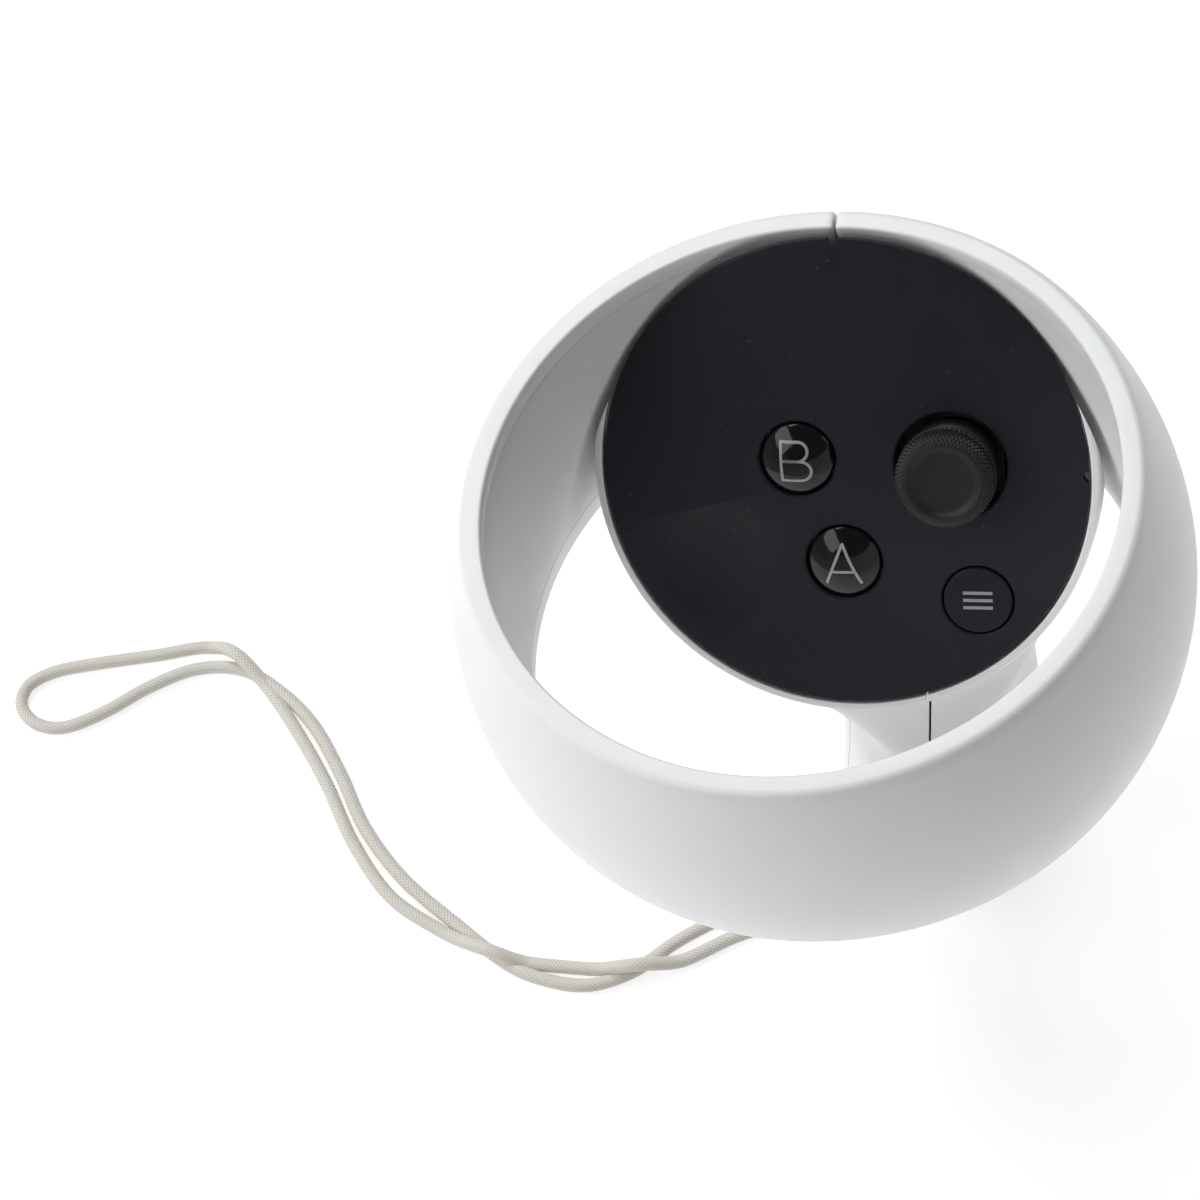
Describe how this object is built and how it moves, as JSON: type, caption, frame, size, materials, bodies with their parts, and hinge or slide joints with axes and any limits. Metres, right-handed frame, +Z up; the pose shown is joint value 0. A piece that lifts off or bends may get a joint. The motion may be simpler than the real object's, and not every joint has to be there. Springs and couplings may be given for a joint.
{
  "type": "vr motion controller",
  "caption": "Right-hand motion controller: a tracking ring round a tilted black face with buttons and thumbstick, on a short handle with trigger, grip button and wrist cord.",
  "frame": {"origin": "on the ground under the centre of the tracking ring, the controller standing on its handle's flat end", "axes": "+Z up along the tracking ring's axis, +Y forward, away from the user, +X to the user's right"},
  "size_m": [0.1942, 0.0927, 0.1202],
  "materials": {
    "white_shell": "satin white moulded plastic with a fine spark-eroded texture",
    "ring_inner": "satin light grey-white plastic",
    "face_black": "soft-touch satin black",
    "home_black": "soft-touch satin black with a pale printed glyph",
    "button_gloss": "polished black with a grey letter under the surface",
    "silicone": "grey silicone",
    "circuit": "solder mask",
    "frame_plastic": "black glass-filled plastic",
    "steel": "plain steel",
    "stick_rubber": "matte black rubber, knurled round its edge",
    "led_lens": "dark infrared-pass lens",
    "battery_can": "printed metal can",
    "cord_braid": "tight round off-white braid"
  },
  "bodies": {
    "housing": {"battery_cell": "battery_can", "battery_plate": "steel", "battery_spring": "steel", "button_membrane": "silicone", "face_plate": "face_black", "frame_screw_1": "steel", "frame_screw_2": "steel", "frame_screw_3": "steel", "grip_pin": "steel", "grip_spring": "steel", "haptic_motor": "battery_can", "home_switch": "silicone", "inner_frame": "frame_plastic", "lanyard_anchor": "frame_plastic", "left_shell": "white_shell", "main_board": "circuit", "main_chip": "frame_plastic", "right_shell": "white_shell", "ring_inner_shell": "ring_inner", "ring_joint_block": "frame_plastic", "ring_led_1": "led_lens", "ring_led_2": "led_lens", "ring_led_3": "led_lens", "ring_led_4": "led_lens", "ring_led_5": "led_lens", "ring_led_6": "led_lens", "ring_led_7": "led_lens", "ring_led_8": "led_lens", "ring_led_strip": "circuit", "ring_outer_shell": "white_shell", "stick_base": "frame_plastic", "trigger_pin": "steel", "trigger_spring": "steel", "wrist_cord": "cord_braid"},
    "button_a": {"button_a": "button_gloss"},
    "button_b": {"button_b": "button_gloss"},
    "home_button": {"home_button": "home_black"},
    "stick_rocker": {"stick_rocker": "frame_plastic"},
    "stick_shaft": {"stick_shaft": "frame_plastic"},
    "stick_top": {"thumbstick_cap": "stick_rubber", "stick_skirt": "stick_rubber"},
    "trigger": {"trigger": "white_shell"},
    "grip_button": {"grip_button": "white_shell"},
    "battery_door": {"battery_door": "white_shell"}
  },
  "joints": [
    {"name": "button_a_press", "type": "slide", "parent": "housing", "child": "button_a", "axis": [0, 0.7923, -0.6101], "range_m": [0, 0.0012], "stiffness_N_per_m": 150},
    {"name": "button_b_press", "type": "slide", "parent": "housing", "child": "button_b", "axis": [0, 0.7923, -0.6101], "range_m": [0, 0.0012], "stiffness_N_per_m": 150},
    {"name": "home_press", "type": "slide", "parent": "housing", "child": "home_button", "axis": [0, 0.7923, -0.6101], "range_m": [0, 0.0006], "stiffness_N_per_m": 150},
    {"name": "stick_tilt_forward", "type": "hinge", "parent": "housing", "child": "stick_rocker", "pos_m": [0.0138, 0.02353, 0.09291], "axis": [1, 0, 0], "range_deg": [-14, 14], "stiffness_Nm_per_rad": 0.05},
    {"name": "stick_tilt_sideways", "type": "hinge", "parent": "stick_rocker", "child": "stick_shaft", "pos_m": [0.0138, 0.02353, 0.09291], "axis": [0, 0.6101, 0.7923], "range_deg": [-14, 14], "stiffness_Nm_per_rad": 0.05},
    {"name": "stick_click", "type": "slide", "parent": "stick_shaft", "child": "stick_top", "axis": [0, 0.7923, -0.6101], "range_m": [0, 0.0005], "stiffness_N_per_m": 500},
    {"name": "trigger_pull", "type": "hinge", "parent": "housing", "child": "trigger", "pos_m": [0.0075, 0.0305, 0.077], "axis": [-1, 0, 0], "range_deg": [0, 16], "stiffness_Nm_per_rad": 0.05, "springref_deg": -17.19},
    {"name": "grip_squeeze", "type": "hinge", "parent": "housing", "child": "grip_button", "pos_m": [-0.00315, 0.01071, 0.04082], "axis": [-0.1005, 0.1379, -0.9853], "range_deg": [0, 7], "stiffness_Nm_per_rad": 0.05, "springref_deg": -11.46},
    {"name": "battery_door_slide", "type": "slide", "parent": "housing", "child": "battery_door", "axis": [-0.1005, 0.1379, -0.9853], "range_m": [0, 0.05]}
  ]
}
